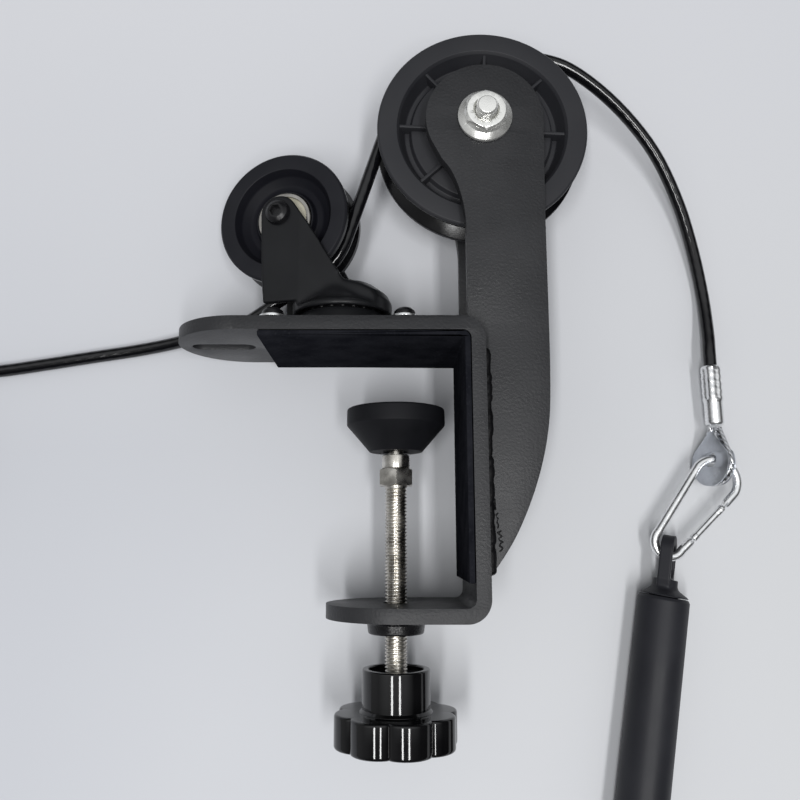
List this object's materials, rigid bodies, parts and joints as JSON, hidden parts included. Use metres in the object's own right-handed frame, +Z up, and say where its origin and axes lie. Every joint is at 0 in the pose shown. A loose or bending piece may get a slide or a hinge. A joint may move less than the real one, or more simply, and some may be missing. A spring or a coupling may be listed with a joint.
{
  "type": "wrist pulley trainer",
  "caption": "Clamp-on wrist trainer: a cable runs over a large pulley between cheeks and round a small pulley in a swivel fork to carabiners and a round handle.",
  "frame": {"origin": "bottom centre of the trainer as it lies on its side on a bench, measured without the free cable and what is on it", "axes": "+Z up from the bench and across the strap's width, +Y up the clamp's upright from knob to large pulley, +X from the arms' tips to the upright"},
  "size_m": [0.4087, 0.323, 0.055],
  "materials": {
    "black_powder_coat": "fine textured powder coat",
    "black_rubber": "matte",
    "black_nylon": "satin moulded",
    "satin_black_steel": "satin",
    "gloss_black_plastic": "gloss",
    "bright_zinc": "bright plated",
    "nickel_screw": "warm nickel plated",
    "bearing_seal": "cream seal on a steel ring",
    "cable_jacket": "gloss",
    "handle_grip": "satin"
  },
  "bodies": {
    "frame": {"clamp_bracket": "black_powder_coat", "jaw_pad": "black_rubber", "screw_nut": "black_powder_coat", "pulley_cheek_front": "black_powder_coat", "pulley_cheek_rear": "black_powder_coat", "pulley_bolt": "bright_zinc", "pulley_flange_nut": "bright_zinc", "pulley_spacer_front": "bright_zinc", "pulley_spacer_rear": "bright_zinc", "large_bearing_inner_front": "bright_zinc", "large_bearing_inner_rear": "bright_zinc", "caster_plate": "satin_black_steel", "caster_screw_1": "satin_black_steel", "caster_screw_2": "satin_black_steel", "caster_screw_3": "satin_black_steel", "caster_screw_4": "satin_black_steel", "caster_washer_1": "bright_zinc", "caster_washer_2": "bright_zinc", "caster_washer_3": "bright_zinc", "caster_washer_4": "bright_zinc", "swivel_kingpin": "satin_black_steel", "swivel_ball_ring": "bright_zinc", "cable_over_pulley": "cable_jacket", "cable_right_run": "cable_jacket", "cable_left_run": "cable_jacket", "cable_coil": "cable_jacket", "cable_end_run": "cable_jacket", "coil_tie": "black_rubber", "ferrule_left": "bright_zinc", "ferrule_right": "bright_zinc", "thimble_left": "bright_zinc", "thimble_right": "bright_zinc", "wire_eye_left": "bright_zinc", "wire_eye_right": "bright_zinc", "carabiner_left": "bright_zinc", "carabiner_right": "bright_zinc"},
    "screw_carrier": {"screw_collar": "bright_zinc"},
    "screw": {"clamp_screw": "nickel_screw", "knob": "gloss_black_plastic"},
    "ball_seat": {"ball_socket": "black_nylon"},
    "foot": {"clamp_foot": "black_nylon"},
    "large_pulley": {"large_pulley": "black_nylon", "large_bearing_outer_front": "bearing_seal", "large_bearing_outer_rear": "bearing_seal"},
    "fork": {"swivel_fork": "satin_black_steel", "axle_bolt": "gloss_black_plastic", "axle_nut": "satin_black_steel", "axle_sleeve": "bright_zinc", "small_bearing_inner_front": "bright_zinc", "small_bearing_inner_rear": "bright_zinc", "cable_under_pulley": "cable_jacket"},
    "small_pulley": {"small_pulley": "black_nylon", "small_bearing_outer_front": "bearing_seal", "small_bearing_outer_rear": "bearing_seal"},
    "gate_right": {"gate_right": "bright_zinc"},
    "gate_left": {"gate_left": "bright_zinc"},
    "handle": {"handle_core": "handle_grip", "handle_grip": "handle_grip"}
  },
  "joints": [
    {"name": "screw_travel", "type": "slide", "parent": "frame", "child": "screw_carrier", "axis": [0, 1, 0], "range_m": [-0.0401, 0.0116]},
    {"name": "knob_turn", "type": "hinge", "parent": "screw_carrier", "child": "screw", "pos_m": [-0.01436, 0.00071, 0.025], "axis": [0, 1, 0], "range_deg": [-11520, 3300]},
    {"name": "foot_tilt_x", "type": "hinge", "parent": "screw_carrier", "child": "ball_seat", "pos_m": [-0.01436, 0.00071, 0.025], "axis": [1, 0, 0], "range_deg": [-8, 8]},
    {"name": "foot_tilt_z", "type": "hinge", "parent": "ball_seat", "child": "foot", "pos_m": [-0.01436, 0.00071, 0.025], "axis": [0, 0, 1], "range_deg": [-8, 8]},
    {"name": "large_pulley_spin", "type": "hinge", "parent": "frame", "child": "large_pulley", "pos_m": [0.01923, 0.12071, 0.0274], "axis": [0, 0, 1], "continuous": true},
    {"name": "fork_swivel", "type": "hinge", "parent": "frame", "child": "fork", "pos_m": [-0.03476, 0.055, 0.025], "axis": [0, 1, 0], "range_deg": [-75.5, 104.5]},
    {"name": "small_pulley_spin", "type": "hinge", "parent": "fork", "child": "small_pulley", "pos_m": [-0.05606, 0.08691, 0.01949], "axis": [-0.2504, 0, 0.9681], "continuous": true},
    {"name": "gate_right_open", "type": "hinge", "parent": "frame", "child": "gate_right", "pos_m": [0.11136, -0.02448, 0.0094], "axis": [0, 0, 1], "range_deg": [-22, 0], "stiffness_Nm_per_rad": 0.02, "springref_deg": 20.05},
    {"name": "gate_left_open", "type": "hinge", "parent": "frame", "child": "gate_left", "pos_m": [-0.26072, -0.09859, 0.00709], "axis": [-0.1193, -0.1423, 0.9826], "range_deg": [-22, 0], "stiffness_Nm_per_rad": 0.02, "springref_deg": 20.05},
    {"name": "handle_swing", "type": "hinge", "parent": "frame", "child": "handle", "pos_m": [0.09044, -0.03709, 0.0094], "axis": [0, 0, 1], "range_deg": [-25, 0]}
  ],
  "couplings": [
    {"joint": "screw_travel", "follows": "knob_turn", "m_per_rad": 0.00019894},
    {"joint": "small_pulley_spin", "follows": "large_pulley_spin", "ratio": -1.5061}
  ]
}
